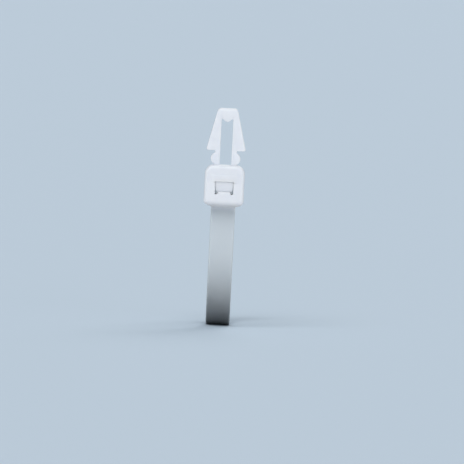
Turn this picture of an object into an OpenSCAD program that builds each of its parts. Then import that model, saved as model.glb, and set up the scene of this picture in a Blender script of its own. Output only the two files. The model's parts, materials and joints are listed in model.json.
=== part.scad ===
// Push mount cable tie, closed into a loop with its tail trimmed at the head.
// One moulding of natural nylon: an arrowhead that snaps into a panel hole, a ratchet
// head with a hinged pawl, and a strap with teeth on the inside between two smooth rails.
//
// Frame: the origin is on the arrowhead's axis, on the face of the head that seats on the
// panel. +Z runs up the arrowhead, +X across the strap, and the strap's tail leaves the
// head towards -Y. Millimetres.

/* [Strap] */
// Width of the strap
strap_width = 4.8; // [3.6:0.1:7.6]
// Thickness of the strap over its rails
strap_thickness = 1.3; // [1:0.05:2]
// Radius along the strap's four long edges
strap_edge_radius = 0.25; // [0.1:0.05:0.45]
// Width of the smooth rail on each side of the teeth
rail_width = 0.55; // [0.4:0.05:1]
// How far the trimmed tail stands out of the head
tail_stub = 0.05; // [0:0.05:6]

/* [Teeth] */
// Distance from tooth to tooth
tooth_pitch = 1.0; // [0.8:0.05:1.6]
// Depth of the tooth gullets, from the rails
tooth_depth = 0.5; // [0.3:0.05:0.7]
// How far the tooth tips lie below the rails
tooth_recess = 0.06; // [0.02:0.01:0.15]
// Flat on each tooth tip
tooth_land = 0.16; // [0.05:0.01:0.3]
// Smooth length of strap between the head and the first tooth
smooth_lead = 5; // [1:0.5:12]

/* [Loop] */
// Inside diameter of the closed loop
loop_diameter = 28.2; // [16:0.2:50]

/* [Head] */
// Wall on each side of the strap channel
head_side_wall = 1.5; // [1:0.1:2.5]
// Wall between the panel face and the strap channel
head_top_wall = 2.0; // [1.2:0.1:4]
// Height of the straight sides below the pawl chamber
head_floor = 1.35; // [0.8:0.05:2.5]
// Height of the rounded shoulders that run down into the strap
shoulder_height = 1.3; // [1.2:0.1:3]
// Radius of the head's two lower corners, seen from the front
shoulder_radius = 0.8; // [0.6:0.05:1.1]
// Radius of the head's lower front edge
chin_radius = 1.1; // [0.8:0.05:1.3]
// How far above the end of the straight sides the front face starts to round under
chin_lift = 0.1; // [0.05:0.05:0.8]
// Depth of the head in front of the arrowhead's axis
head_front = 3.2; // [2.4:0.1:4.5]
// Depth of the head behind the strap's inner face
head_back_lip = 0.5; // [0.2:0.1:1.2]
// Distance from the arrowhead's axis back to the strap's inner face
strap_setback = 1.9; // [1.4:0.1:3]
// Radius of the head's two top corners, seen from the front
head_corner_radius = 1.8; // [0.8:0.1:2.2]
// Radius along the edges of the head's front and back faces
head_edge_radius = 0.6; // [0.3:0.05:0.9]
// Flare of the strap channel where the tail enters
entry_flare = 0.4; // [0.2:0.05:0.8]

/* [Pawl] */
// Height of the chamber below the strap that holds the pawl
chamber_height = 2.35; // [1.85:0.05:3]
// Gap between the pawl and each side of its chamber, at its teeth
pawl_slit = 0.08; // [0.04:0.02:0.4]
// How much narrower the pawl is at its root, on each side
pawl_waist = 0.55; // [0.1:0.05:0.6]
// Height above the chamber's floor over which the pawl narrows
pawl_waist_height = 0.8; // [0.4:0.1:2.2]
// How far the top of the pawl's nose sits back from the head's front face
pawl_nose_inset = 0.15; // [0.05:0.05:1]
// How much further back the foot of the pawl's nose sits
pawl_nose_rake = 0.5; // [0.2:0.05:0.8]
// Gap under the pawl's nose, which lets the strap's teeth push it down
pawl_travel = 0.42; // [0.3:0.02:0.8]
// How far the sill in front of the pawl's nose stands above that gap, which it hides
sill_cover = 0.06; // [0.02:0.01:0.2]
// Width of the open pocket on each side of the sill
sill_pocket = 0.55; // [0.4:0.05:0.9]
// Gap under the pawl where it leaves its hinge
pawl_undercut = 0.15; // [0.05:0.05:0.25]
// Thickness of the hinge at the pawl's root
pawl_hinge = 0.9; // [0.6:0.1:1.3]
// How far the hinge sits in from the head's back face
pawl_hinge_inset = 0.2; // [0.1:0.05:0.5]

/* [Arrowhead] */
// Height of the arrowhead above the panel face
arrow_height = 11.4; // [9:0.1:15]
// Panel thickness under the barbs
panel_grip = 2.9; // [1.5:0.1:5]
// How far each barb stands out of its leg
barb_reach = 1.73; // [1.2:0.01:2.4]
// Width over the arrowhead's flat tip
tip_span = 4.2; // [3.6:0.1:5.5]
// Gap between the two legs
leg_gap = 2.35; // [1.8:0.05:2.8]
// Thickness of each leg under its barb
leg_thickness = 1.0; // [0.8:0.05:1.3]
// How far the rounded bead below each barb stands out of its leg
bead_rise = 0.78; // [0.4:0.02:1.1]
// Gap between each bead and the barb above it
bead_gap = 0.5; // [0.2:0.05:0.7]
// Gap between each bead and the panel face below it
bead_foot = 0.1; // [0.05:0.05:0.3]
// Thickness of the arrowhead from front to back
arrow_depth = 2.4; // [1.8:0.1:4.4]
// Height of the web that joins the legs at the tip
tip_web = 2.2; // [1.6:0.1:3]
// Radius of the rounded stop under the tip web
stop_radius = 0.9; // [0.6:0.05:1.1]
// How far the rounded stop stands below the tip web
stop_drop = 0.5; // [0.1:0.05:0.7]
// Radius of the tip's corners
tip_corner_radius = 0.8; // [0.2:0.05:0.9]
// Radius of the barbs' points
barb_point_radius = 0.3; // [0.05:0.05:0.4]

/* [Fits] */
// Gap all round the strap in its channel
channel_clearance = 0.1; // [0.05:0.01:0.2]
// Gap between the pawl's teeth and the strap's teeth
mesh_clearance = 0.08; // [0.04:0.01:0.15]
// Gap between the sill and the pawl's nose, which swings down behind it
nose_clearance = 0.15; // [0.1:0.01:0.2]
// Gap between each side of the pawl and the strap's rail above it
rail_clearance = 0.08; // [0.05:0.01:0.25]

/* [Hidden] */

$fn = 64;
// Overlap of pieces that are moulded together, and of cuts past a face
join = 0.5;
// Height of the line in which the head's outlines meet the strap
sliver = 0.01;

// The strap channel through the head, and the pawl chamber under it
channel_half = strap_width / 2 + channel_clearance;
channel_top = -head_top_wall;
strap_top = channel_top - channel_clearance;
strap_underside = strap_top - strap_thickness;
channel_floor = strap_underside - channel_clearance;
tooth_width = strap_width - 2 * rail_width;
pawl_width = tooth_width - 2 * rail_clearance;
chamber_half = pawl_width / 2 + pawl_slit;
chamber_floor = channel_floor - chamber_height;

// The head's outside
head_half = channel_half + head_side_wall;
head_side_end = chamber_floor - head_floor;
head_bottom = head_side_end - shoulder_height;
head_back = strap_setback + head_back_lip;
strap_front = strap_setback - strap_thickness;

// The loop: a straight run down from the head, three quarters of a circle, and a straight
// run forward through the channel
loop_radius = loop_diameter / 2;
loop_y = strap_setback + loop_radius;
loop_z = strap_underside - loop_radius;
tail_y = -head_front - tail_stub;
drop_length = head_bottom - loop_z;
turn_length = 1.5 * PI * loop_radius;
return_length = loop_y - tail_y;
strap_length = drop_length + turn_length + return_length;

// The pawl's teeth, counted back from its nose. They have the form of the strap's gullets
// and lie one clearance below them, square to the ramps.
nose_y = -head_front + pawl_nose_inset;
ramp_length = tooth_pitch - tooth_land;
ramp_angle = atan2(tooth_depth - tooth_recess, ramp_length);
mesh_drop = mesh_clearance * (1 + sin(ramp_angle)) / cos(ramp_angle);
pawl_tip_z = strap_underside + tooth_depth - mesh_drop;
pawl_root_z = strap_underside + tooth_recess - mesh_drop;
hinge_back = head_back - pawl_hinge_inset;
hinge_front = hinge_back - pawl_hinge;
pawl_teeth = floor((hinge_front - nose_y) / tooth_pitch);
nose_foot = nose_y + pawl_nose_rake;
sill_back = nose_foot - nose_clearance;
sill_top = chamber_floor + pawl_travel + sill_cover;
sill_half = chamber_half - sill_pocket;

// The strap's teeth are in mesh with the pawl: their steep faces lie just before its own
mesh_distance = drop_length + turn_length + loop_y - (nose_y - mesh_clearance);
first_tooth = ceil((smooth_lead - mesh_distance) / tooth_pitch);
last_tooth = floor((strap_length - mesh_distance) / tooth_pitch);

// The arrowhead's beads are arcs that stand on the legs
leg_outer = leg_gap / 2 + leg_thickness;
bead_half_height = (panel_grip - bead_gap - bead_foot) / 2;
bead_radius = (pow(bead_half_height, 2) + pow(bead_rise, 2)) / (2 * bead_rise);
barb_outer = leg_outer + barb_reach;
slot_top = arrow_height - tip_web;

// A point in the YZ plane at a distance along the strap from the head, measured on its
// inner face, and at a height above that face towards the outside of the loop
function strap_point(distance, height) =
    distance < drop_length
        ? [strap_setback - height, head_bottom - distance]
    : distance < drop_length + turn_length
        ? turn_point((distance - drop_length) / loop_radius * 180 / PI, height)
        : [loop_y - (distance - drop_length - turn_length), loop_z + loop_radius + height];

function turn_point(angle, height) = [
    loop_y - (loop_radius + height) * cos(angle),
    loop_z - (loop_radius + height) * sin(angle)
];

function tooth_place(index) = mesh_distance + index * tooth_pitch;

// A YZ outline carried across X, centred
module across(width) {
    rotate([90, 0, 90])
        linear_extrude(width, center = true)
            children();
}

// An XZ outline carried along Y, between two depths
module along(front, back) {
    translate([0, back, 0])
        rotate([90, 0, 0])
            linear_extrude(back - front)
                children();
}

module rounded_rectangle(low, high, radius) {
    size = high - low;
    translate(low + [radius, 0]) square([size.x - 2 * radius, size.y]);
    translate(low + [0, radius]) square([size.x, size.y - 2 * radius]);
    for (x = [low.x + radius, high.x - radius], y = [low.y + radius, high.y - radius])
        translate([x, y]) circle(radius);
}

// The strap's section, with its inner face on the Y axis and its thickness along +X
module strap_section() {
    rounded_rectangle([0, -strap_width / 2], [strap_thickness, strap_width / 2], strap_edge_radius);
}

module strap_blank() {
    translate([0, strap_setback, loop_z])
        linear_extrude(drop_length + join)
            rotate(-90) strap_section();
    translate([0, loop_y, loop_z])
        rotate([0, 90, 0])
            rotate([0, 0, -90])
                rotate_extrude(angle = 270)
                    translate([loop_radius, 0]) strap_section();
    translate([0, loop_y, strap_underside])
        rotate([90, 0, 0])
            linear_extrude(return_length)
                rotate(90) strap_section();
}

// The side view of everything that the tooth gullets take out of the strap
module gullets() {
    profile = [
        for (index = [first_tooth : last_tooth])
            each [
                strap_point(tooth_place(index), tooth_recess),
                strap_point(tooth_place(index) + tooth_land, tooth_recess),
                strap_point(tooth_place(index + 1), tooth_depth)
            ]
    ];
    inside = [
        for (index = [last_tooth + 1 : -1 : first_tooth])
            strap_point(tooth_place(index), -join)
    ];
    polygon(concat(profile, inside));
}

module strap() {
    difference() {
        strap_blank();
        across(tooth_width) gullets();
    }
}

// The head from the front: rounded top corners, straight sides, shoulders down to the strap
module head_front_view() {
    hull() {
        for (side = [-1, 1]) {
            translate([side * (head_half - head_corner_radius), -head_corner_radius])
                circle(head_corner_radius);
            translate([side * (head_half - shoulder_radius), head_side_end])
                circle(shoulder_radius);
        }
        translate([-strap_width / 2, head_bottom]) square([strap_width, sliver]);
    }
}

// The head from the side: a rounded block whose underside slopes back to the strap
module head_side_view() {
    hull() {
        for (y = [-head_front + head_edge_radius, head_back - head_edge_radius])
            translate([y, -head_edge_radius]) circle(head_edge_radius);
        translate([-head_front + chin_radius, head_side_end + chin_lift]) circle(chin_radius);
        translate([head_back - head_edge_radius, head_side_end]) circle(head_edge_radius);
        translate([strap_front, head_bottom]) square([strap_thickness, sliver]);
    }
}

module head_blank() {
    intersection() {
        along(-head_front, head_back) head_front_view();
        across(2 * head_half) head_side_view();
        translate([0, 0, head_bottom])
            linear_extrude(-head_bottom)
                rounded_rectangle([-head_half, -head_front], [head_half, head_back], head_edge_radius);
    }
}

// The strap channel from the side, flared at the back where the tail enters
module channel_side_view() {
    translate([-head_front - join, channel_floor])
        square([head_front + head_back + 2 * join, channel_top - channel_floor]);
    polygon([
        [head_back - 2 * entry_flare, channel_top],
        [head_back + join, channel_top + entry_flare + join / 2],
        [head_back + join, channel_floor],
        [head_back - 2 * entry_flare, channel_floor]
    ]);
}

// The pawl chamber, open at both ends, with the sill left standing at its front
module chamber() {
    difference() {
        along(-head_front - join, head_back + join)
            translate([-chamber_half, chamber_floor])
                square([2 * chamber_half, chamber_height + join]);
        along(-head_front - 2 * join, sill_back)
            translate([-sill_half, chamber_floor - join])
                square([2 * sill_half, sill_top - chamber_floor + join]);
    }
}

module head() {
    difference() {
        head_blank();
        across(2 * channel_half) channel_side_view();
        chamber();
    }
}

// The pawl from the side: a toothed finger that leans forward from its hinge at the back
module pawl_side_view() {
    teeth = [
        for (index = [0 : pawl_teeth - 1])
            each [
                [nose_y + index * tooth_pitch, pawl_tip_z],
                [nose_y + index * tooth_pitch + ramp_length, pawl_root_z],
                [nose_y + (index + 1) * tooth_pitch, pawl_root_z]
            ]
    ];
    polygon(concat(
        teeth,
        [
            [hinge_front, channel_floor - tooth_depth],
            [hinge_back, chamber_floor + pawl_travel],
            [hinge_back, chamber_floor - join],
            [hinge_front, chamber_floor - join],
            [hinge_front, chamber_floor + pawl_undercut],
            [nose_foot, chamber_floor + pawl_travel]
        ]
    ));
}

// The pawl from the front: it narrows towards its root
module pawl_front_view() {
    half = pawl_width / 2;
    waist = half - pawl_waist;
    polygon([
        [-half, strap_underside + tooth_depth],
        [half, strap_underside + tooth_depth],
        [half, chamber_floor + pawl_waist_height],
        [waist, chamber_floor + pawl_undercut],
        [waist, chamber_floor - join],
        [-waist, chamber_floor - join],
        [-waist, chamber_floor + pawl_undercut],
        [-half, chamber_floor + pawl_waist_height]
    ]);
}

module pawl() {
    intersection() {
        across(pawl_width) pawl_side_view();
        along(-head_front, head_back) pawl_front_view();
    }
}

// The slot between the legs, with the rounded stop at its top
module leg_slot() {
    difference() {
        translate([-leg_gap / 2, 0]) square([leg_gap, slot_top]);
        translate([0, slot_top - stop_drop + stop_radius]) circle(stop_radius);
    }
}

// The bead on one leg, kept to that leg's side and below the barb
module bead(side) {
    intersection() {
        translate([side * (leg_outer + bead_rise - bead_radius), bead_foot + bead_half_height])
            circle(bead_radius);
        translate([side * barb_outer / 2, panel_grip / 2])
            square([barb_outer, panel_grip], center = true);
    }
}

// The arrowhead from the front: two legs, each with a bead and a barb, joined at the tip
module arrow_front_view() {
    difference() {
        union() {
            translate([-leg_outer, -join]) square([2 * leg_outer, panel_grip + 2 * join]);
            for (side = [-1, 1]) bead(side);
            hull() {
                for (side = [-1, 1]) {
                    translate([side * (barb_outer - barb_point_radius), panel_grip + barb_point_radius])
                        circle(barb_point_radius);
                    translate([side * (tip_span / 2 - tip_corner_radius), arrow_height - tip_corner_radius])
                        circle(tip_corner_radius);
                }
            }
        }
        leg_slot();
    }
}

// The arrowhead from the side: flat front and back faces, rounded at the tip
module arrow_side_view() {
    half = arrow_depth / 2;
    rounded_rectangle([-half, -join - tip_corner_radius], [half, arrow_height], tip_corner_radius);
}

module arrowhead() {
    intersection() {
        along(-arrow_depth, arrow_depth) arrow_front_view();
        across(3 * barb_outer) arrow_side_view();
    }
}

module cable_tie() {
    color("whitesmoke") {
        arrowhead();
        head();
        pawl();
        strap();
    }
}

cable_tie();
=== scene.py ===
"""Push mount cable tie of natural nylon, closed into a loop: its looks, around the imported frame."""

import json

import bmesh
import bpy
import numpy as np
from mathutils import Matrix, Vector


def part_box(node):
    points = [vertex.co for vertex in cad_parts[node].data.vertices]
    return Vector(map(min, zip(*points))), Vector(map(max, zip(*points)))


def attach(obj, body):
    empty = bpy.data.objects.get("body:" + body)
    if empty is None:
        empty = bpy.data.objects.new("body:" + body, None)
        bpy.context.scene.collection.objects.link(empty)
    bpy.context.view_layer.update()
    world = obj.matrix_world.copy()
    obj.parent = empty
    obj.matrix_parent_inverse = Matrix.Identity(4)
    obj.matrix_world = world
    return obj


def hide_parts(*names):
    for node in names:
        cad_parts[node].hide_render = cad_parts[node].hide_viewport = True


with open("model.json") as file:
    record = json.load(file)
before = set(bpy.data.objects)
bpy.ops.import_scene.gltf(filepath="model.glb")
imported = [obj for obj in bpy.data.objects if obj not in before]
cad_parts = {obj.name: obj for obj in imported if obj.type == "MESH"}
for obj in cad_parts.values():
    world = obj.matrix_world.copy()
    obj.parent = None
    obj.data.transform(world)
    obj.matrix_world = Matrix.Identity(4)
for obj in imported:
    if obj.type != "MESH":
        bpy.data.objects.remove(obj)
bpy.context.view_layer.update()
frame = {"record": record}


# STRAP
# A flat band of natural nylon, moulded in one shot with the head and pulled round into a loop.
# Its inside has saw teeth between two smooth rails, and its tail is cut off flush with the head.

MM = 0.001  # metres in a millimetre; all sizes below are in millimetres
cad_low, cad_high = (np.array(corner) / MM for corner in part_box("cable_tie"))
loop_mount = next(m for m in frame["record"]["mounts"] if m["name"] == "bundle_loop")
loop_y, loop_z = np.array(loop_mount["pos_m"][1:]) / MM
loop_radius = loop_mount["dims"]["r_mm"]

strap_edge_radius = 0.25
strap_half = loop_mount["dims"]["length_mm"] / 2 + strap_edge_radius
strap_thickness = loop_z - loop_radius - cad_low[2]
strap_inner_y = loop_y - loop_radius
strap_front_y = strap_inner_y - strap_thickness
strap_underside = loop_z + loop_radius  # the toothed face's height on its way through the head
strap_root_z = -6.9  # the top of the front run, inside the head
rail_width = 0.55
rail_rounding = 0.05
band_half = strap_half - rail_width  # half the toothed band, between the rails
flash = 0.025  # the parting line's thin ridge on the edges

tooth_pitch = 1.0
tooth_depth = 0.5
tooth_recess = 0.06  # the tips lie this far below the rails
tooth_land = 0.16  # the flat on each tip
tooth_rounding = 0.04
toothless_z = -13.5  # the teeth start below this height on the front run
smooth_stations = 24  # sections along the stretch without teeth
pawl_nose_y = -3.1
mesh_press = 0.08  # the strap's steep tooth faces are pulled this far into the pawl's

drop_length = strap_root_z - loop_z
turn_length = 1.5 * np.pi * loop_radius
strap_length = drop_length + turn_length + loop_y - cad_low[1]


def arc(centre, radius, start, end, steps=6):
    """Points on a circle about a centre, from one angle to another in degrees."""
    angle = np.radians(np.linspace(start, end, steps))
    return np.array(centre) + radius * np.stack([np.cos(angle), np.sin(angle)], axis=-1)


def strap_path(distance):
    """Points on the strap's inner face and the directions out of the loop there, in the YZ plane.
    A point lies on the loop's circle at the angle turned so far, and is moved along the tangent
    by the length before the turn, which is negative, or the length after it."""
    turned = np.clip(distance - drop_length, 0, turn_length)
    straight = distance - drop_length - turned
    angle = turned / loop_radius
    outward = np.stack([-np.cos(angle), -np.sin(angle)], axis=-1)
    tangent = np.stack([np.sin(angle), -np.cos(angle)], axis=-1)
    return [loop_y, loop_z] + loop_radius * outward + straight[:, None] * tangent, outward


def tooth_stations():
    """Distances along the strap and the depth of its toothed band at each. One tooth goes from
    its gullet up a steep face to the tip's flat and down a ramp to the next gullet; copies of it
    stand a pitch apart, in mesh with the pawl, and the smooth start lies at the tips' depth."""
    meshed = strap_length + cad_low[1] - (pawl_nose_y + mesh_press)
    toothless = strap_root_z - toothless_z
    first, past_last = np.ceil((np.array([toothless, strap_length]) - meshed) / tooth_pitch)
    number = np.arange(first, past_last)
    steep_at = [0, tooth_rounding, 2 * tooth_rounding, tooth_land]
    steep = [tooth_depth, tooth_recess + tooth_rounding, tooth_recess, tooth_recess]
    ramp_middle = (tooth_land + tooth_pitch) / 2
    ramp_at = np.array([tooth_land + tooth_rounding, ramp_middle, tooth_pitch - tooth_rounding])
    fall = (tooth_depth - tooth_recess) * (ramp_at - tooth_land) / (tooth_pitch - tooth_land)
    offset = np.concatenate([steep_at, ramp_at])
    depth = np.concatenate([steep, tooth_recess + fall])
    toothed = (meshed + number[:, None] * tooth_pitch + offset).ravel()[1:]
    toothed_depth = np.tile(depth, len(number))[1:]
    smooth = np.linspace(0, toothed[0], smooth_stations, endpoint=False)
    before_cut = toothed[toothed < strap_length - tooth_rounding]
    distance = np.concatenate([smooth, before_cut, [strap_length]])
    return distance, np.interp(distance, toothed, toothed_depth)


def closed_surface(name, points, rows_close=False):
    """A closed mesh through a grid of points in millimetres. Each row is a ring, quads join a row
    to the next, and the rows either close on themselves or end in two flat caps."""
    rows, columns = points.shape[:2]
    index = np.arange(rows * columns).reshape(rows, columns)
    here, ahead = (index, np.roll(index, -1, axis=0)) if rows_close else (index[:-1], index[1:])
    quads = np.stack([here, np.roll(here, -1, axis=1), np.roll(ahead, -1, axis=1), ahead], axis=-1)
    caps = [] if rows_close else [index[0].tolist(), index[-1].tolist()]
    mesh = bpy.data.meshes.new(name)
    mesh.from_pydata(points.reshape(-1, 3) * MM, [], quads.reshape(-1, 4).tolist() + caps)
    shape = bmesh.new()
    shape.from_mesh(mesh)
    bmesh.ops.recalc_face_normals(shape, faces=shape.faces)
    shape.to_mesh(mesh)
    shape.free()
    piece = bpy.data.objects.new(name, mesh)
    bpy.context.scene.collection.objects.link(piece)
    return piece


# Half of the section, from the middle of the outer face round to the middle of the toothed band:
# columns are the place across the strap, the height over the inner face, and 1 in the band.
edge_x = strap_half - strap_edge_radius
outer_corner = arc((edge_x, strap_thickness - strap_edge_radius), strap_edge_radius, 90, 0)
inner_corner = arc((edge_x, strap_edge_radius), strap_edge_radius, 0, -90)
section_half = np.concatenate(
    [
        np.insert([[0, strap_thickness], [strap_half / 2, strap_thickness]], 2, 0, axis=1),
        np.insert(outer_corner, 2, 0, axis=1),
        [
            [strap_half, strap_thickness / 2 + flash, 0],
            [strap_half + flash, strap_thickness / 2, 0],
            [strap_half, strap_thickness / 2 - flash, 0],
        ],
        np.insert(inner_corner, 2, 0, axis=1),
        [
            [band_half + rail_rounding, 0, 0],
            [band_half, rail_rounding / 2, 0],
            [band_half - rail_rounding, 0, 1],
            [band_half / 2, 0, 1],
            [0, 0, 1],
        ],
    ]
)
section = np.concatenate([section_half, (section_half * [-1, 1, 1])[-2:0:-1]])
in_band = section[:, 2] > 0
on_outer_face = section[:, 1] > strap_thickness / 2
strap_station, band_depth = tooth_stations()
# The cutter rounds the tail's end and presses it out, so that it fills the channel's mouth
cut_rounding = 0.05
cut_swell = 0.11
swollen_length = 2.2
swell_ramp = 0.3
cut_turn = np.radians([0, 30, 60, 90, 90])
strap_station = np.append(strap_station[:-1], strap_length - cut_rounding * (1 - np.sin(cut_turn)))
band_depth = np.append(band_depth, np.repeat(band_depth[-1], len(cut_turn) - 1))
cut_inset = np.zeros(len(strap_station))
cut_inset[-len(cut_turn) :] = cut_rounding * (1 - np.cos(cut_turn))
cut_inset[-1] += cut_rounding  # a last ring in the plane of the cut keeps its shading flat
swell = cut_swell * np.clip((swollen_length - strap_length + strap_station) / swell_ramp, 0, 1)
inner_face, outward = strap_path(strap_station)
pressed_out = (swell - cut_inset)[:, None]
pressed_in = np.where(in_band, cut_inset[:, None], -pressed_out)
section_height = section[:, 1] + band_depth[:, None] * section[:, 2]
section_height += np.where(on_outer_face, pressed_out, pressed_in)
strap_points = np.empty(section_height.shape + (3,))
strap_points[..., 0] = section[:, 0] + np.where(in_band, 0, pressed_out) * np.sign(section[:, 0])
strap_points[..., 1:] = inner_face[:, None] + section_height[..., None] * outward[:, None]
strap = closed_surface("strap", strap_points)


# HEAD
# The ratchet housing at the strap's root, one with it. A core in the mould leaves it open from
# front to back: the strap's channel above, flared where the tail enters, and below it the
# chamber of the pawl.

head_half = cad_high[0] - flash
head_front_y = -3.2
head_back_y = 2.4
head_corner_radius = 1.8
head_edge_radius = 0.6
neck_edge_radius = 0.1  # the rounded edge thins out to this down the shoulder's slope
shoulder_z = -7.69  # where the lines of the side and of the shoulder's slope meet
shoulder_radius = 0.8
chin_z = -8.08  # where the lines of the front face and of the underside meet
chin_radius = 1.1
nape_z = -7.32  # where the lines of the back face and of its slope meet
head_bottom = -8.5
neck_sunk = 0.06  # the neck ends this far inside the strap's faces
neck_end = head_bottom - 1.1
neck_end_radius = 0.3
neck_fillet = 0.5
nape_fillet = 0.4
channel_gap = 0.1
channel_half = strap_half + channel_gap
channel_top = strap_underside + strap_thickness + channel_gap
channel_floor = strap_underside - channel_gap
channel_corner_radius = 0.3
chamber_half = 1.85
chamber_floor = -5.85
chamber_corner_radius = 0.15
ledge_radius = 0.04  # the edge between the chamber's side and the channel's floor
sill_half = 1.2  # the sill before the pawl's nose, with an open pocket on each side
sill_top = -5.37
sill_back_y = -2.7
sill_corner_radius = 0.12
sill_spread = 0.2  # how much wider the sill is at its foot, on each side
sill_lean = 0.03  # how far the sill's back face leans
entry_flare = 0.4
rim_radius = 0.02
parting_share = 0.59  # how far back on the side the mould's halves met
head_flash_share = 0.01  # half the width of the ridge there
side_shares = [0.3, 0.8]  # rings on the plain side, in front of the ridge and behind it
face_rings = 24
even_rays = 180
view_top = 1.0  # the side view goes on above the head's top
unseen_radius = 0.1  # corners of the side view above the head or inside the strap
ray_middle = np.array([0, strap_underside + channel_gap])  # inside the channel, sees every wall


def unit(vectors):
    """Vectors scaled to a length of one."""
    return vectors / np.linalg.norm(vectors, axis=-1, keepdims=True)


def rounded_polygon(corners, steps=9):
    """Points round a closed polygon whose corners, given as (u, v, radius), are arcs that touch
    both sides, and the directions out of it there. An arc's centre lies on the corner's bisector,
    radius / sin(half its angle) in; the direction out is away from it, or towards it in a hollow
    corner, where the arc runs the other way round."""
    corner, radius = np.array(corners)[:, :2], np.array(corners)[:, 2:]
    before = unit(np.roll(corner, 1, axis=0) - corner)
    after = unit(np.roll(corner, -1, axis=0) - corner)
    half_angle = np.arccos(np.sum(before * after, axis=1, keepdims=True)) / 2
    centre = corner + unit(before + after) * radius / np.sin(half_angle)
    reach = radius / np.tan(half_angle)
    start, end = corner + before * reach - centre, corner + after * reach - centre
    first = np.arctan2(start[:, 1:], start[:, :1])
    sweep = (np.arctan2(end[:, 1:], end[:, :1]) - first + np.pi) % (2 * np.pi) - np.pi
    angle = first + sweep * np.linspace(0, 1, steps)
    ring = np.stack([np.cos(angle), np.sin(angle)], axis=-1)
    outline = centre[:, None] + radius[:, None] * ring
    return outline.reshape(-1, 2), (ring * np.sign(sweep)[:, None]).reshape(-1, 2)


def bearings(outline):
    """The angle of each point of an outline, seen from the middle of the rays."""
    return np.arctan2(outline[:, 1] - ray_middle[1], outline[:, 0] - ray_middle[0])


def on_rays(view, angle):
    """Where rays from their middle cross an outline that goes once round it, and the directions
    out of it there: between the outline's two points on either side of a ray, at the share where
    the cross product with the ray is zero."""
    order = np.argsort(bearings(view[0]))
    outline, direction = view[0][order] - ray_middle, view[1][order]
    second = np.searchsorted(bearings(view[0])[order], angle)
    first, second = second - 1, second % len(outline)
    ray = np.stack([np.cos(angle), np.sin(angle)], axis=-1)
    side = outline[:, :1] * ray[:, 1] - outline[:, 1:] * ray[:, 0]
    each = np.arange(len(angle))
    share = side[first, each] / (side[first, each] - side[second, each])
    place, out = (
        values[first] + share[:, None] * (values[second] - values[first])
        for values in (outline, direction)
    )
    return place + ray_middle, unit(out)


def both_sides(corners):
    """Corners on the right, from the bottom up, and their mirror images down the left."""
    return corners + [(-x, z, radius) for x, z, radius in reversed(corners)]


front_view = rounded_polygon(
    both_sides(
        [
            (strap_half - 2 * neck_sunk, neck_end, neck_end_radius),
            (strap_half - neck_sunk, head_bottom, neck_fillet),
            (head_half, shoulder_z, shoulder_radius),
            (head_half, 0, head_corner_radius),
        ]
    )
)
opening_sides = [
    (chamber_half, chamber_floor, chamber_corner_radius),
    (chamber_half, channel_floor, ledge_radius),
    (channel_half, channel_floor, channel_corner_radius),
    (channel_half, channel_top, channel_corner_radius),
]
opening_view = rounded_polygon(both_sides(opening_sides))
sill = [
    (sill_half, sill_top, sill_corner_radius),
    (sill_half + sill_spread, chamber_floor, chamber_corner_radius),
]
mouth_view = rounded_polygon(both_sides(sill + opening_sides))
side_view, _ = rounded_polygon(
    [
        (head_front_y, view_top, unseen_radius),
        (head_front_y, chin_z, chin_radius),
        (strap_front_y + neck_sunk, head_bottom, neck_fillet),
        (strap_front_y + 2 * neck_sunk, neck_end, unseen_radius),
        (strap_inner_y - 2 * neck_sunk, neck_end, unseen_radius),
        (strap_inner_y - neck_sunk, head_bottom, nape_fillet),
        (head_back_y, nape_z, head_edge_radius),
        (head_back_y, view_top, unseen_radius),
    ]
)
in_front = side_view[:, 0] < (strap_front_y + strap_inner_y) / 2
front_edge = side_view[in_front][np.argsort(side_view[in_front][:, 1])]
back_edge = side_view[~in_front][np.argsort(side_view[~in_front][:, 1])]


def front_y(z):
    """The front face's depth at a height, read off the side view."""
    return np.interp(z, front_edge[:, 1], front_edge[:, 0])


def back_y(z):
    """The back face's depth at a height, read off the side view."""
    return np.interp(z, back_edge[:, 1], back_edge[:, 0])


# Rays to every point of the outlines and all round, to a hundredth of a radian
ray_angle = np.concatenate(
    [bearings(outline) for outline, _ in (front_view, opening_view, mouth_view)]
    + [np.linspace(-np.pi, np.pi, even_rays, endpoint=False)]
)
ray_angle = np.unique(np.round(ray_angle, 2))
outside, outside_normal = on_rays(front_view, ray_angle)
opening, opening_normal = on_rays(opening_view, ray_angle)
mouth, mouth_normal = on_rays(mouth_view, ray_angle)
channel_share = (opening[:, 1:] - channel_floor) / (channel_top - channel_floor)
flared = opening + entry_flare * np.clip(channel_share, 0, 1) * [0, 1]
edge_heights = [head_bottom, shoulder_z + shoulder_radius / 2]
edge = np.interp(outside[:, 1], edge_heights, [neck_edge_radius, head_edge_radius])[:, None]
quarter = np.radians(np.linspace(0, 90, 8))


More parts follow.
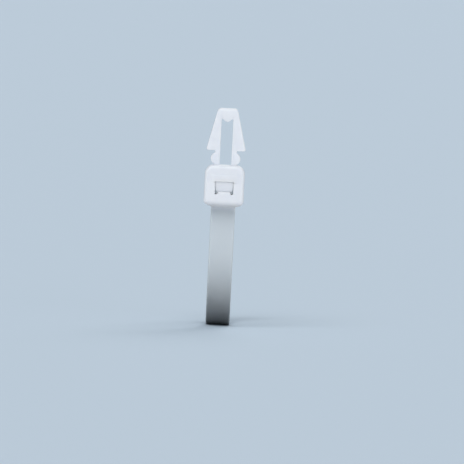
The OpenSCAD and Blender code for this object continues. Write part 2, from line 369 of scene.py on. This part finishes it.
def head_rows():
    """Rings round the head as (outline, depth): from the opening's front rim out over the front
    face, round its edge, back along the sides, round the back edge, in over the back face and
    forward again through the opening."""
    face_share = np.linspace(0, 1, face_rings)[1:-1]
    rim_front = mouth + rim_radius * mouth_normal
    rim_back = flared + rim_radius * opening_normal
    edge_line = outside - edge * outside_normal
    for outline, y in [(opening, sill_back_y + sill_lean), (mouth, sill_back_y)]:
        yield outline, np.full(len(outline), y)
    for turn in quarter[::2]:
        outline = mouth + rim_radius * (1 - np.cos(turn)) * mouth_normal
        yield outline, front_y(outline[:, 1]) + rim_radius * (1 - np.sin(turn))
    for share in face_share:
        outline = rim_front + share * (edge_line - rim_front)
        yield outline, front_y(outline[:, 1])
    for turn in quarter:
        outline = outside - edge * (1 - np.sin(turn)) * outside_normal
        yield outline, front_y(outline[:, 1]) + edge[:, 0] * (1 - np.cos(turn))
    side_start = front_y(outside[:, 1]) + edge[:, 0]
    side_end = back_y(outside[:, 1]) - edge[:, 0]
    ridge_start, ridge_end = parting_share + head_flash_share * np.array([-1, 1])
    side_share = [side_shares[0], ridge_start, parting_share, ridge_end, side_shares[1]]
    for share, ridge in zip(side_share, [0, 0, flash, 0, 0]):
        yield outside + ridge * outside_normal, side_start + share * (side_end - side_start)
    for turn in quarter[::-1]:
        outline = outside - edge * (1 - np.sin(turn)) * outside_normal
        yield outline, back_y(outline[:, 1]) - edge[:, 0] * (1 - np.cos(turn))
    for share in face_share[::-1]:
        outline = rim_back + share * (edge_line - rim_back)
        yield outline, back_y(outline[:, 1])
    for turn in quarter[::-2]:
        outline = flared + rim_radius * (1 - np.cos(turn)) * opening_normal
        yield outline, back_y(outline[:, 1]) - rim_radius * (1 - np.sin(turn))
    yield opening, np.full(len(opening), head_back_y - 2 * entry_flare)


head_points = np.array(
    [np.column_stack([outline[:, 0], y, outline[:, 1]]) for outline, y in head_rows()]
)
head = closed_surface("head", head_points, rows_close=True)


# PAWL
# The toothed finger that locks the strap: it stands on a thin hinge at the back of its chamber,
# leans forward under the strap and is one with the head.

pawl_half = 1.84
pawl_tooth_half = 1.77  # the teeth pass between the strap's rails
pawl_draft = 0.16  # how much narrower each flank is at the waist
pawl_waist_half = 1.1
pawl_waist_z = chamber_floor + 0.8
pawl_undercut_z = chamber_floor + 0.15
pawl_travel_z = chamber_floor + 0.42
mesh_drop = 0.132  # the pawl's teeth lie this far below the strap's gullets
front_bite = 0.05  # but the front one is driven home, this far past the root of its gullet
pawl_tip_z = strap_underside + tooth_depth - mesh_drop
pawl_gullet_z = strap_underside + tooth_recess - mesh_drop
front_tip_z = strap_underside + tooth_depth + front_bite
pawl_foot_y = pawl_nose_y + 0.55  # the nose leans forward, so its foot lies further back
hinge_front_y = 1.32
hinge_back_y = 2.2
hinge_root_z = chamber_floor - 0.6  # inside the head's floor
pawl_teeth = 4
nose_stations = 8
step = 0.015  # how far the two ends of a steep face lie apart

tooth_start = pawl_nose_y + tooth_pitch * np.arange(pawl_teeth)
top_y = (tooth_start[:, None] + [0, tooth_pitch - tooth_land, tooth_pitch - step]).ravel()
top_z = np.tile([pawl_tip_z, pawl_gullet_z, pawl_gullet_z], pawl_teeth)
top_z[0] = front_tip_z
top_y = np.append(top_y, [hinge_front_y, hinge_back_y])
top_z = np.append(top_z, [channel_floor - tooth_depth, pawl_travel_z])
bottom_y = np.array([pawl_nose_y, pawl_foot_y, hinge_front_y - step, hinge_front_y, hinge_back_y])
bottom_z = np.array([pawl_tip_z - step, pawl_travel_z, pawl_undercut_z, hinge_root_z, hinge_root_z])
nose_y = np.linspace(pawl_nose_y, pawl_foot_y, nose_stations)
pawl_y = np.unique(np.concatenate([nose_y, top_y[1:], bottom_y[2:]]))
pawl_low = np.interp(pawl_y, bottom_y, bottom_z)
pawl_high = np.interp(pawl_y, top_y, top_z)
# Rows up a flank as shares of its height, and how far the rounded edges draw each row in
pawl_share = np.array([0, 0.02, 0.1, 0.2, 0.3, 0.45, 0.6, 0.8, 0.98, 1])
pawl_corner = np.array([0.06, 0.015, 0, 0, 0, 0, 0, 0, 0.015, 0.06])
pawl_z = pawl_low[:, None] + pawl_share * (pawl_high - pawl_low)[:, None]
flank_z = [pawl_undercut_z, pawl_waist_z, channel_floor, strap_underside]
flank_x = [pawl_waist_half, pawl_half - pawl_draft, pawl_half, pawl_tooth_half]
pawl_x = np.interp(pawl_z, flank_z, flank_x) - pawl_corner
pawl_points = np.stack(
    [
        np.hstack([pawl_x, -pawl_x[:, ::-1]]),
        np.repeat(pawl_y[:, None], 2 * len(pawl_share), axis=1),
        np.hstack([pawl_z, pawl_z[:, ::-1]]),
    ],
    axis=-1,
)
pawl = closed_surface("pawl", pawl_points)


# ARROWHEAD
# The push mount on top of the head: two springy legs joined at the tip, each with a barb that
# catches behind a panel and a round bead below it that centres it in the hole.

arrow_top = cad_high[2] - flash
arrow_sunk = -0.6  # the legs' feet, inside the head
arrow_half_depth = 1.2
leg_inner = 1.175
leg_outer = 2.175
panel_grip = 2.9
barb_outer = 3.905 - flash
barb_point_radius = 0.3
tip_half = 2.1 - flash
tip_corner_radius = 0.8
bead_rise = 0.78
bead_half_height = 1.15
bead_foot = 0.1
bead_crease = 0.02  # the leg goes on this far above the bead's end
slot_top = arrow_top - 2.2
stop_radius = 0.9
stop_bottom = slot_top - 0.5
foot_fillet = 0.2
face_edge_radius = 0.12
tip_edge_radius = 0.5
slot_edge_radius = 0.1
arrow_flash_share = 0.06  # half the width of the parting ridge, as a share of the half depth


def line(start, end, steps):
    """Points from start up to, but not including, end."""
    return np.linspace(start, end, steps, endpoint=False)


bead_radius = (bead_half_height**2 + bead_rise**2) / (2 * bead_rise)
bead_angle = np.degrees(np.arcsin(bead_half_height / bead_radius))
bead_centre = (leg_outer + bead_rise - bead_radius, bead_foot + bead_half_height)
bead_low, bead_high = bead_centre[1] - bead_half_height, bead_centre[1] + bead_half_height
barb_centre = np.array([barb_outer - barb_point_radius, panel_grip + barb_point_radius])
tip_centre = np.array([tip_half - tip_corner_radius, arrow_top - tip_corner_radius])
# The flank touches both rounded corners: its normal leans up by the angle between their centres,
# corrected for the difference of their radii.
centre_step = tip_centre - barb_centre
flank_angle = np.degrees(
    np.arctan2(centre_step[1], centre_step[0])
    - np.arccos((barb_point_radius - tip_corner_radius) / np.linalg.norm(centre_step))
)
barb_point = arc(barb_centre, barb_point_radius, -90, flank_angle, steps=8)
tip_corner = arc(tip_centre, tip_corner_radius, flank_angle, 90, steps=10)
stop_centre = np.array([0, stop_bottom + stop_radius])
stop_angle = np.degrees(np.arcsin((slot_top - stop_centre[1]) / stop_radius))
stop = arc(stop_centre, stop_radius, stop_angle, -90, steps=10)

# The right half of the arrowhead, stretch by stretch from the foot to the middle of the tip. Each
# stretch of a leg's outline comes with two heights on the slot's wall: as many points lie between.
beside_barb = panel_grip + np.array([0.1, 0.4, 0.8])  # on that wall: barb's root, point and flank
leg_stretches = [
    (line((leg_outer, arrow_sunk), (leg_outer, bead_low), 12), arrow_sunk, bead_low),
    (arc(bead_centre, bead_radius, -bead_angle, bead_angle, steps=20), bead_low, bead_high),
    (line((leg_outer, bead_high + bead_crease), (leg_outer, panel_grip), 3), bead_high, panel_grip),
    (np.array([(leg_outer, panel_grip)]), beside_barb[0], beside_barb[1]),
    (barb_point, beside_barb[1], beside_barb[2]),
    (line(barb_point[-1], tip_corner[0], 24)[1:], beside_barb[2], slot_top),
]
leg_outline = [outer for outer, _, _ in leg_stretches]
leg_wall = [
    line((leg_inner, low), (leg_inner, high), len(outer)) for outer, low, high in leg_stretches
]
tip_outline = [tip_corner, line(tip_corner[-1], (0, arrow_top), 10)[1:], [(0, arrow_top)]]
tip_wall = [line((leg_inner, slot_top), stop[0], 10), stop[:-1], [(0, stop_bottom)]]
outline_half = np.concatenate(leg_outline + tip_outline)
slot_half = np.concatenate(leg_wall + tip_wall)
arrow_outline = np.concatenate([outline_half, (outline_half * [-1, 1])[-2::-1]])
slot_wall = np.concatenate([slot_half, (slot_half * [-1, 1])[-2::-1]])


def arrow_section():
    """Columns round the arrowhead's section as (place, y): along the slot's wall, round its front
    edge, over the front face, round the outer edge, back along the outside and so on. Edges are
    quarter circles, wider at the tip, and the feet swell out into the head by a quarter circle."""
    foot = foot_fillet - np.clip(foot_fillet - slot_wall[:, 1], 0, foot_fillet)
    swell = foot_fillet - np.sqrt(foot_fillet**2 - (foot_fillet - foot) ** 2)
    side = np.sign(arrow_outline[:, 0]) * [[1], [0]]
    outer = arrow_outline + (side * swell).T
    inner = slot_wall - (side * swell).T
    depth = arrow_half_depth + swell
    on_tip = np.clip((outer[:, 1] - tip_centre[1]) / tip_corner_radius, 0, 1)
    radius = face_edge_radius + on_tip * (tip_edge_radius - face_edge_radius)
    edge_y = depth - radius
    into = unit(inner - outer)
    half = []
    for turn in quarter[::2]:
        place = inner - into * (slot_edge_radius * (1 - np.cos(turn)))
        half.append((place, depth - slot_edge_radius * (1 - np.sin(turn))))
    for turn in quarter[::-1]:
        place = outer + into * (radius * (1 - np.cos(turn)))[:, None]
        half.append((place, edge_y + radius * np.sin(turn)))
    for share, ridge in [(0.5, 0), (arrow_flash_share, 0), (0, flash)]:
        half.append((outer - ridge * into, share * edge_y))
    return [(place, -y) for place, y in half] + [(place, y) for place, y in half[-2::-1]]


arrow_points = np.stack(
    [np.column_stack([place[:, 0], y, place[:, 1]]) for place, y in arrow_section()], axis=1
)
arrowhead = closed_surface("arrowhead", arrow_points)


# ONE MOULDING
# Strap, head, pawl and arrowhead are one shot of nylon from one mould. Their surfaces are united
# into one skin, with no seams between them.

weld = 0.001  # edges that the union leaves shorter than this are closed up
sharp_degrees = 32  # edges that turn more than this are drawn sharp

head.name = "tie_moulding"
for piece in (arrowhead, pawl, strap):
    union = head.modifiers.new(piece.name, "BOOLEAN")
    union.operation = "UNION"
    union.solver = "EXACT"
    union.object = piece
united = head.evaluated_get(bpy.context.evaluated_depsgraph_get())
moulding = bpy.data.meshes.new_from_object(united)
head.modifiers.clear()
head.data = moulding
for piece in (arrowhead, pawl, strap):
    bpy.data.objects.remove(piece)
shape = bmesh.new()
shape.from_mesh(moulding)
bmesh.ops.remove_doubles(shape, verts=shape.verts, dist=weld * MM)
bmesh.ops.dissolve_degenerate(shape, edges=shape.edges, dist=weld * MM)
shape.to_mesh(moulding)
shape.free()
moulding.name = "tie_moulding"
moulding.shade_smooth()
moulding.set_sharp_from_angle(angle=np.radians(sharp_degrees))

# Natural polyamide 66, injection moulded: milky and translucent, so light spreads about half
# a millimetre under the surface, with a faint eroded grain from the mould and a dull sheen.

scatter_mm = 0.5
cloud_mm = 3.0  # the milky patches
grain_mm = 0.35  # the mould's grain, drawn coarser than the real 0.05
grain_depth_mm = 0.05
# The strap's painted shade fades in over these heights and depths
strap_shade_below = (-8.2, -9.4)  # heights between which the thick head gives way to the front run
strap_shade_behind = (2.2, 3.4)  # and depths between which it does to the run behind it
MIX_A, MIX_B, MIX_RESULT = 6, 7, 2  # a Mix node's colour sockets, whose names aren't unique


def linear(hex_colour):
    """Linear RGBA of an sRGB hex colour."""
    srgb = np.array([int(hex_colour[i : i + 2], 16) for i in (1, 3, 5)]) / 255
    return (*np.where(srgb > 0.04045, ((srgb + 0.055) / 1.055) ** 2.4, srgb / 12.92), 1)


def add_node(tree, kind, links=(), **settings):
    """Adds a node, sets its sockets or properties by name and links (socket, source) into it."""
    made = tree.nodes.new(kind)
    for name, value in settings.items():
        if name in made.bl_rna.properties:
            setattr(made, name, value)
        else:
            made.inputs[name.replace("_", " ")].default_value = value
    for socket, source in links:
        tree.links.new(source, made.inputs[socket])
    return made


nylon = bpy.data.materials.new("natural_polyamide_moulded")
nylon.use_nodes = True
tree = nylon.node_tree
tree.nodes.clear()
place = add_node(tree, "ShaderNodeTexCoord").outputs["Object"]
cloud, grain = (
    add_node(tree, "ShaderNodeTexNoise", [("Vector", place)], Scale=1 / (size * MM), Detail=detail)
    for size, detail in [(cloud_mm, 3.0), (grain_mm, 2.0)]
)
tint = add_node(tree, "ShaderNodeMix", [("Factor", cloud.outputs["Fac"])], data_type="RGBA")
tint.inputs[MIX_A].default_value = linear("#E0E5EE")
tint.inputs[MIX_B].default_value = linear("#ECF0F6")
# Painted shade: the strap's front run and the run behind it get a greyer base colour than the head,
# so they look darker
along = add_node(tree, "ShaderNodeSeparateXYZ", [(0, place)]).outputs
front_run, back_run = (
    add_node(
        tree,
        "ShaderNodeMapRange",
        [("Value", along[axis])],
        From_Min=start * MM,
        From_Max=end * MM,
        interpolation_type="SMOOTHSTEP",
    ).outputs[0]
    for axis, (start, end) in [("Z", strap_shade_below), ("Y", strap_shade_behind)]
)
thin = add_node(tree, "ShaderNodeMath", [(0, front_run), (1, back_run)], operation="MAXIMUM")
body = add_node(
    tree,
    "ShaderNodeMix",
    [("Factor", thin.outputs[0]), (MIX_A, tint.outputs[MIX_RESULT])],
    data_type="RGBA",
)
body.inputs[MIX_B].default_value = linear("#CDD6DD")
sheen = add_node(
    tree,
    "ShaderNodeMapRange",
    [("Value", grain.outputs["Fac"])],
    From_Min=0.3,
    From_Max=0.7,
    To_Min=0.36,
    To_Max=0.5,
)
bump = add_node(
    tree,
    "ShaderNodeBump",
    [("Height", grain.outputs["Fac"])],
    Strength=0.06,
    Distance=grain_depth_mm * MM,
)
shader = add_node(
    tree,
    "ShaderNodeBsdfPrincipled",
    [
        ("Base Color", body.outputs[MIX_RESULT]),
        ("Roughness", sheen.outputs[0]),
        ("Normal", bump.outputs[0]),
    ],
    IOR=1.53,
    Subsurface_Weight=1.0,
    Subsurface_Scale=scatter_mm * MM,
    Subsurface_Radius=(1.0, 1.0, 1.0),
)
add_node(tree, "ShaderNodeOutputMaterial", [("Surface", shader.outputs[0])])
moulding.materials.clear()
moulding.materials.append(nylon)
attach(head, "root")
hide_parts("cable_tie")


# FLOOR AND STUDIO
# A matt sheet of pale blue-grey card under the loop, soft lamps and an even sky of the same colour.
# They only light and show the tie, and are no part of it. The light that the sheet throws back onto
# the tie is painted: near black under the loop as painted shade, and white further off as painted
# light.

floor_reach = 20000.0
under_loop_y = 8.0
painted_shade_radius = 12.0  # round the place under the loop, the sheet throws back little light up to here
bright_radius = 30.0  # and all of it from here on
corner_xy = np.array([[-1, -1], [1, -1], [1, 1], [-1, 1]]) * floor_reach
floor_mesh = bpy.data.meshes.new("floor")
floor_mesh.from_pydata(np.insert(corner_xy, 2, cad_low[2], axis=1) * MM, [], [[0, 1, 2, 3]])
floor = bpy.data.objects.new("floor", floor_mesh)
bpy.context.scene.collection.objects.link(floor)
sheet = bpy.data.materials.new("matt_card")
sheet.use_nodes = True
tree = sheet.node_tree
tree.nodes.clear()


def add_seen(tree):
    """1 for rays from the camera, a gloss or a clear body, which show the studio, and 0 for others:
    the highest of Light Path's three marks for them."""
    path = add_node(tree, "ShaderNodeLightPath").outputs
    either = [(0, path["Is Camera Ray"]), (1, path["Is Glossy Ray"])]
    seen = add_node(tree, "ShaderNodeMath", either, operation="MAXIMUM").outputs[0]
    either = [(0, seen), (1, path["Is Transmission Ray"])]
    return add_node(tree, "ShaderNodeMath", either, operation="MAXIMUM").outputs[0]


# Painted shade and light: the light that the sheet throws back grows with the distance from the place
# under the loop, from near black there to white, while the camera sees the sheet evenly pale
place = add_node(tree, "ShaderNodeTexCoord").outputs["Object"]
away = add_node(tree, "ShaderNodeVectorMath", [(0, place)], operation="DISTANCE")
away.inputs[1].default_value = (0, under_loop_y * MM, cad_low[2] * MM)
outer = add_node(
    tree,
    "ShaderNodeMapRange",
    [("Value", away.outputs["Value"])],
    From_Min=painted_shade_radius * MM,
    From_Max=bright_radius * MM,
)
painted_bounce = add_node(tree, "ShaderNodeMix", [("Factor", outer.outputs[0])], data_type="RGBA")
painted_bounce.inputs[MIX_A].default_value = linear("#24282B")
painted_bounce.inputs[MIX_B].default_value = linear("#FFFFFF")
card = add_node(
    tree,
    "ShaderNodeMix",
    [("Factor", add_seen(tree)), (MIX_A, painted_bounce.outputs[MIX_RESULT])],
    data_type="RGBA",
)
card.inputs[MIX_B].default_value = linear("#C9D9E7")
shader = add_node(
    tree, "ShaderNodeBsdfPrincipled", [("Base Color", card.outputs[MIX_RESULT])], Roughness=0.9
)
add_node(tree, "ShaderNodeOutputMaterial", [("Surface", shader.outputs[0])])
floor_mesh.materials.append(sheet)

world = bpy.data.worlds.new("studio")
world.use_nodes = True
tree = world.node_tree
tree.nodes.clear()
light = add_node(tree, "ShaderNodeBackground", Color=linear("#F2F5F8"), Strength=0.3)
backdrop = add_node(tree, "ShaderNodeBackground", Color=linear("#B8C8D6"), Strength=1.0)
sky = add_node(
    tree,
    "ShaderNodeMixShader",
    [(0, add_seen(tree)), (1, light.outputs[0]), (2, backdrop.outputs[0])],
)
add_node(tree, "ShaderNodeOutputWorld", [("Surface", sky.outputs[0])])
bpy.context.scene.world = world


def soft_lamp(name, towards, spread, strength):
    """A far, wide lamp in a direction from the tie, as even on the sheet as on the tie."""
    lamp = bpy.data.lights.new(name, "SUN")
    lamp.angle = np.radians(spread)
    lamp.energy = strength
    stand = bpy.data.objects.new(name, lamp)
    stand.rotation_euler = Vector(towards).to_track_quat("Z", "Y").to_euler()
    bpy.context.scene.collection.objects.link(stand)


soft_lamp("key", (-0.25, -1.0, 0.9), 40, 1.5)
soft_lamp("fill", (0.6, -1.0, 0.15), 45, 0.45)
soft_lamp("rim", (0.3, 1.0, 0.9), 35, 0.9)


# CAMERA
# Straight in front of the head and a little above it, with the picture's small tilt. The middle
# of the head's top edge lies at the pixel where the photograph shows it.

photo_pixels = 464
pixels_per_mm = 5.0
seat_pixel = np.array([225.3, 165.3])
seat_mm = np.array([0, head_front_y + head_edge_radius, 0])
elevation, tilt = np.radians([2.5, 2.9])
stand_off = 1500.0

back = np.array([0, -np.cos(elevation), np.sin(elevation)])
level_right = np.array([1, 0, 0])
level_up = np.cross(back, level_right)
right = np.cos(tilt) * level_right + np.sin(tilt) * level_up
up = np.cos(tilt) * level_up - np.sin(tilt) * level_right
seat_offset = (photo_pixels / 2 - seat_pixel) / pixels_per_mm
aim = seat_mm + seat_offset[0] * right - seat_offset[1] * up

lens = bpy.data.cameras.new("camera")
lens.lens = lens.sensor_width * stand_off * pixels_per_mm / photo_pixels
lens.clip_start, lens.clip_end = 0.05, 10  # metres
camera = bpy.data.objects.new("camera", lens)
turned = Matrix(np.column_stack([right, up, back]))
camera.matrix_world = Matrix.Translation((aim + stand_off * back) * MM) @ turned.to_4x4()
bpy.context.scene.collection.objects.link(camera)
bpy.context.scene.camera = camera
bpy.context.scene.view_settings.view_transform = "Standard"
